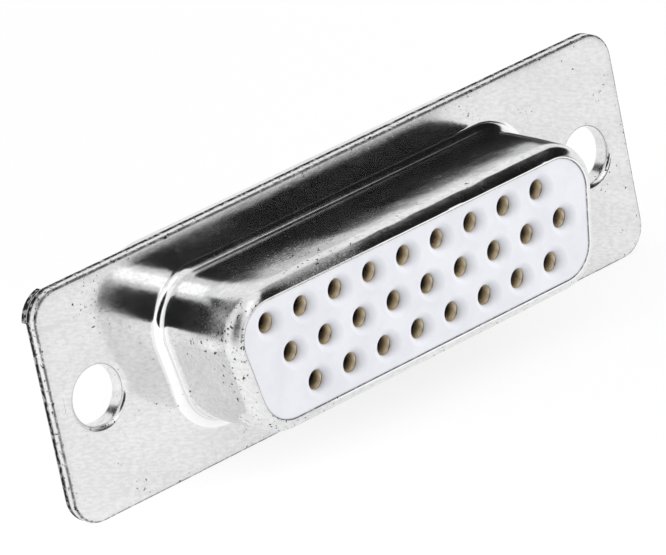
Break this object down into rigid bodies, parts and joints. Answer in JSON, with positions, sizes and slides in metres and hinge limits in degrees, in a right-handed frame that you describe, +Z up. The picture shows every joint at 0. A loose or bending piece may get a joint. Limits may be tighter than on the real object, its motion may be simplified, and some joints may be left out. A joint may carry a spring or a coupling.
{
  "type": "d-sub connector",
  "caption": "High-density D-sub socket connector: white insulator with three rows of contacts in a drawn metal shell with a two-hole mounting flange and solder cups behind.",
  "frame": {"origin": "centre of the front face of the flange, midway between the two mounting holes", "axes": "+X along the flange, +Z up towards the long side of the D, the mating face looks along -Y"},
  "size_m": [0.039, 0.0132, 0.0124],
  "materials": {
    "plated_steel": "bright tin plate",
    "white_plastic": "satin",
    "gold_plate": "flash gold plate"
  },
  "bodies": {
    "root": {"front_shell": "plated_steel", "back_shell": "plated_steel", "front_insulator": "white_plastic", "back_insulator": "white_plastic", "contact_01": "gold_plate", "contact_02": "gold_plate", "contact_03": "gold_plate", "contact_04": "gold_plate", "contact_05": "gold_plate", "contact_06": "gold_plate", "contact_07": "gold_plate", "contact_08": "gold_plate", "contact_09": "gold_plate", "contact_10": "gold_plate", "contact_11": "gold_plate", "contact_12": "gold_plate", "contact_13": "gold_plate", "contact_14": "gold_plate", "contact_15": "gold_plate", "contact_16": "gold_plate", "contact_17": "gold_plate", "contact_18": "gold_plate", "contact_19": "gold_plate", "contact_20": "gold_plate", "contact_21": "gold_plate", "contact_22": "gold_plate", "contact_23": "gold_plate", "contact_24": "gold_plate", "contact_25": "gold_plate", "contact_26": "gold_plate"}
  },
  "joints": []
}
